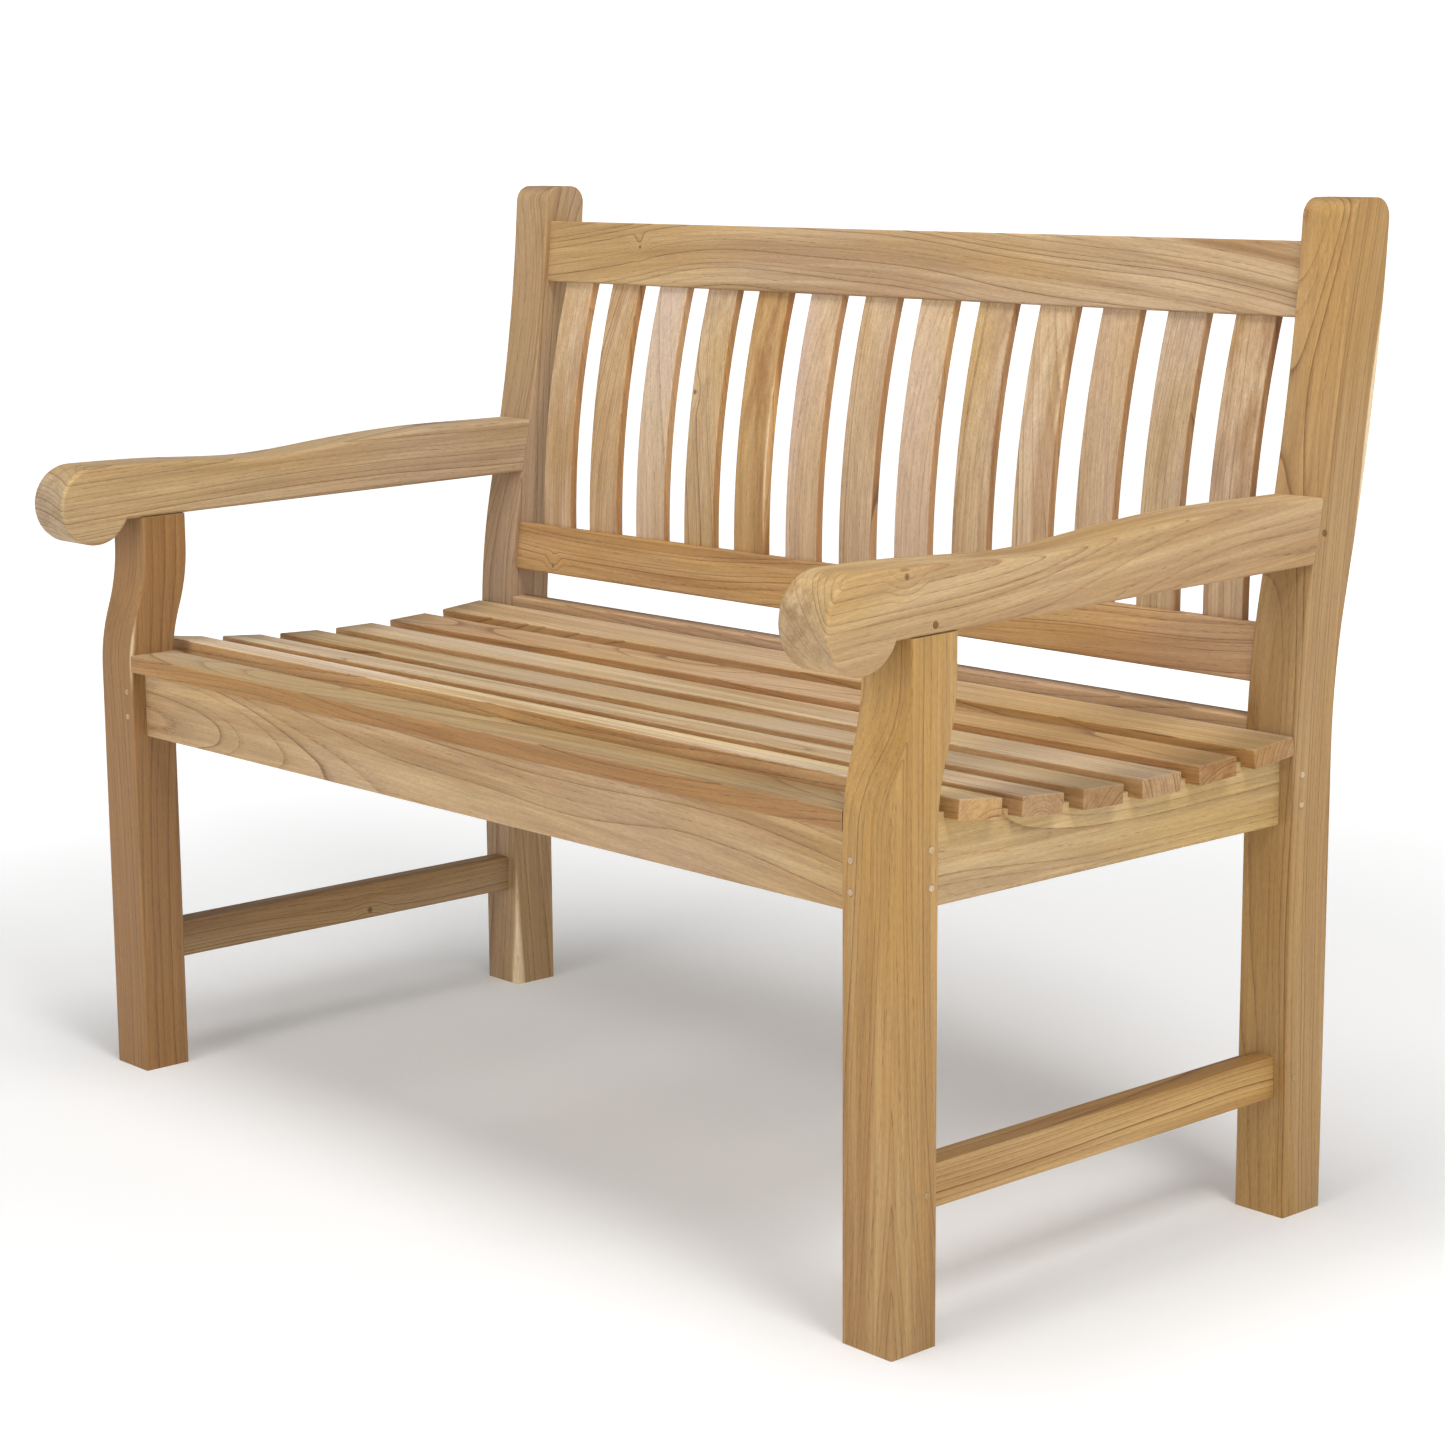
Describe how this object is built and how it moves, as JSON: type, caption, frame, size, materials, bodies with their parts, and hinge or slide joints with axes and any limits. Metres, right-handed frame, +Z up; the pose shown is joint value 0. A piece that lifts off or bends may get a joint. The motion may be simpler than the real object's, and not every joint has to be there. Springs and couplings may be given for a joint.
{
  "type": "garden bench",
  "caption": "Two-seat slatted wooden garden bench with scroll arms, a dished slat seat, a raked slatted back and side stretchers.",
  "frame": {"origin": "on the ground under the middle of the bench, the bottom centre of its bounding box", "axes": "+X along the seat towards the sitter's left hand, +Y from the front edge to the back, +Z up; the bench faces -Y"},
  "size_m": [1.2006, 0.7088, 0.939],
  "materials": {
    "leg_teak": "sanded teak, unfinished, straight grain",
    "arm_teak": "sanded teak, unfinished, yellower",
    "rail_teak": "sanded teak, unfinished, cathedral grain",
    "seat_teak": "sanded teak, unfinished",
    "back_slat_teak": "sanded teak, unfinished, pinkish",
    "peg_teak": "sanded teak dowel ends"
  },
  "bodies": {
    "root": {"front_leg_left": "leg_teak", "front_leg_right": "leg_teak", "back_leg_left": "leg_teak", "back_leg_right": "leg_teak", "arm_left": "arm_teak", "arm_right": "arm_teak", "front_seat_rail": "rail_teak", "back_seat_rail": "rail_teak", "centre_seat_bearer": "rail_teak", "side_seat_rail_left": "rail_teak", "side_seat_rail_right": "rail_teak", "stretcher_left": "rail_teak", "stretcher_right": "rail_teak", "back_top_rail": "rail_teak", "back_lower_rail": "rail_teak", "seat_slat_1": "seat_teak", "seat_slat_2": "seat_teak", "seat_slat_3": "seat_teak", "seat_slat_4": "seat_teak", "seat_slat_5": "seat_teak", "seat_slat_6": "seat_teak", "seat_slat_7": "seat_teak", "back_slat_01": "back_slat_teak", "back_slat_02": "back_slat_teak", "back_slat_03": "back_slat_teak", "back_slat_04": "back_slat_teak", "back_slat_05": "back_slat_teak", "back_slat_06": "back_slat_teak", "back_slat_07": "back_slat_teak", "back_slat_08": "back_slat_teak", "back_slat_09": "back_slat_teak", "back_slat_10": "back_slat_teak", "back_slat_11": "back_slat_teak", "back_slat_12": "back_slat_teak", "back_slat_13": "back_slat_teak", "front_rail_pegs": "peg_teak", "side_rail_pegs": "peg_teak", "stretcher_pegs": "peg_teak", "back_rail_pegs": "peg_teak", "arm_pegs": "peg_teak", "seat_slat_dowels": "peg_teak"}
  },
  "joints": []
}
